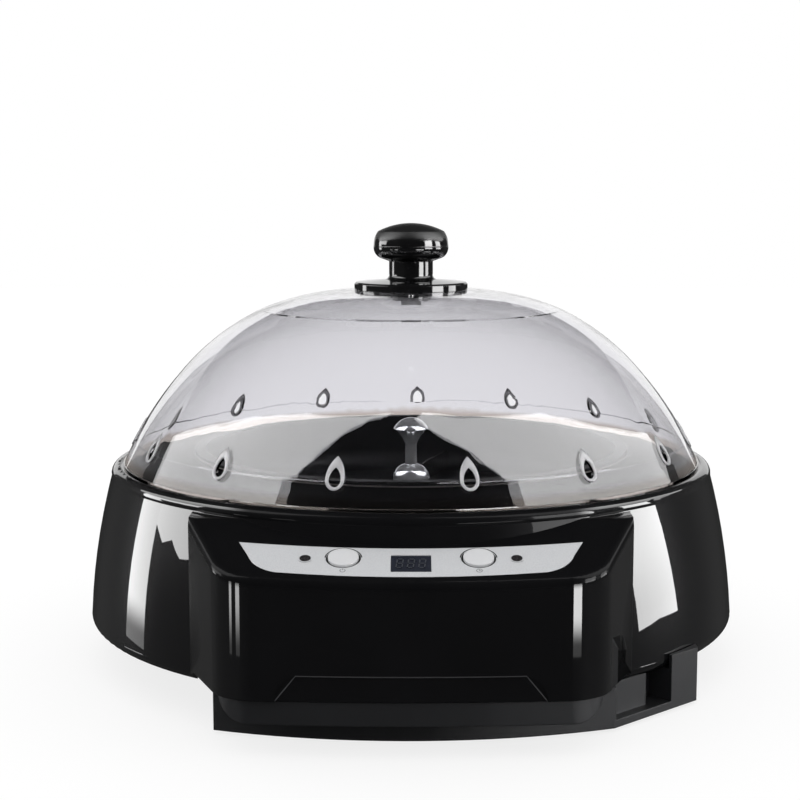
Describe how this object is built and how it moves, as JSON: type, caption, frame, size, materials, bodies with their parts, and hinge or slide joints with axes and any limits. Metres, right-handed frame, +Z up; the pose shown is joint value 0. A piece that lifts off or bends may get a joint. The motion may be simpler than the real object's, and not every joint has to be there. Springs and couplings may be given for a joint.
{
  "type": "coffee bean roaster",
  "caption": "Countertop coffee bean roaster: round body with a front control block, clear domed lid with teardrop vents and a knob, and a stirrer turning in a round pan.",
  "frame": {"origin": "on the surface that the feet stand on, under the stirrer shaft's axis", "axes": "+Z up along the shaft, -Y towards the control block, +X to the right seen from the front"},
  "size_m": [0.3202, 0.3361, 0.2131],
  "materials": {
    "black_gloss": "high gloss",
    "charcoal": "satin",
    "clear_lid": "clear, polished",
    "silver_fascia": "fine satin",
    "smoked_window": "clear, polished",
    "black_satin": "satin",
    "button_silver": "satin",
    "lens_clear": "clear",
    "lamp_red": "clear",
    "circuit_board": "satin",
    "white_plastic": "satin",
    "black_component": "matt",
    "brass": "turned",
    "copper": "enamelled wire",
    "screw_steel": "zinc plated",
    "steel_sheet": "plain",
    "stirrer_steel": "brushed",
    "chrome": "polished",
    "pan_coating": "dark non-stick coating",
    "element_steel": "heat-darkened",
    "magnet": "plain",
    "silicone": "matt",
    "foot_rubber": "matt"
  },
  "bodies": {
    "housing": {"top_housing": "black_gloss", "base_housing": "charcoal", "base_plate": "charcoal", "foot_front_left": "foot_rubber", "foot_front_right": "foot_rubber", "foot_back_right": "foot_rubber", "foot_back_left": "foot_rubber", "casing_screws": "screw_steel", "control_fascia": "silver_fascia", "display_window": "smoked_window", "display_module": "black_component", "control_board": "circuit_board", "control_board_screws": "screw_steel", "indicator_leds": "lamp_red", "lamp_lenses": "lens_clear", "touch_switches": "black_component", "roasting_pan": "pan_coating", "pan_gasket": "silicone", "pan_bush": "brass", "heat_reflector": "steel_sheet", "reflector_screws": "screw_steel", "heating_element": "element_steel", "element_clips": "white_plastic", "thermostat": "black_component", "thermal_fuse": "white_plastic", "gearbox_case": "steel_sheet", "gearbox_cover": "steel_sheet", "gearbox_mid_plate": "steel_sheet", "stator_coil": "copper", "rotor_pin": "screw_steel", "idler_pin": "screw_steel", "shaft_bush": "brass", "motor_bracket": "steel_sheet", "motor_screws": "screw_steel", "power_board": "circuit_board", "power_board_standoffs": "brass", "power_board_screws": "screw_steel", "board_transformer": "black_component", "board_relay": "black_component", "board_capacitors": "steel_sheet", "cord_gland": "black_satin"},
    "lid": {"dome_cover": "clear_lid", "lid_knob": "black_gloss", "knob_insert": "brass", "knob_screw": "screw_steel", "knob_washer": "screw_steel"},
    "spindle": {"output_gear": "brass", "output_shaft": "screw_steel", "drive_pin": "screw_steel"},
    "stirrer": {"stirrer_hub": "chrome", "long_stirring_blade": "stirrer_steel", "short_stirring_blade": "stirrer_steel", "stirrer_finial": "chrome"},
    "idler": {"idler_gear": "white_plastic"},
    "rotor": {"rotor_magnet": "magnet", "rotor_pinion": "white_plastic"},
    "on_off_key": {"on_off_button": "button_silver", "on_off_plunger": "white_plastic"},
    "timer_key": {"timer_button": "button_silver", "timer_plunger": "white_plastic"}
  },
  "joints": [
    {"name": "lid_lift", "type": "slide", "parent": "housing", "child": "lid", "axis": [0, 0, 1], "range_m": [0, 0.15]},
    {"name": "stirrer_spin", "type": "hinge", "parent": "housing", "child": "spindle", "pos_m": [0, 0, 0.06], "axis": [0, 0, 1], "continuous": true},
    {"name": "idler_spin", "type": "hinge", "parent": "housing", "child": "idler", "pos_m": [0.02, 0, 0.03], "axis": [0, 0, 1], "continuous": true},
    {"name": "rotor_spin", "type": "hinge", "parent": "housing", "child": "rotor", "pos_m": [0, 0, 0.02], "axis": [0, 0, 1], "continuous": true},
    {"name": "stirrer_lift", "type": "slide", "parent": "spindle", "child": "stirrer", "axis": [0, 0, 1], "range_m": [0, 0.025]},
    {"name": "on_off_press", "type": "slide", "parent": "housing", "child": "on_off_key", "axis": [0, 0.3338, -0.9426], "range_m": [0, 0.0006], "stiffness_N_per_m": 1000, "springref_m": -0.0005},
    {"name": "timer_press", "type": "slide", "parent": "housing", "child": "timer_key", "axis": [0, 0.3338, -0.9426], "range_m": [0, 0.0006], "stiffness_N_per_m": 1000, "springref_m": -0.0005}
  ],
  "couplings": [
    {"joint": "idler_spin", "follows": "stirrer_spin", "ratio": -4},
    {"joint": "rotor_spin", "follows": "stirrer_spin", "ratio": 16}
  ]
}
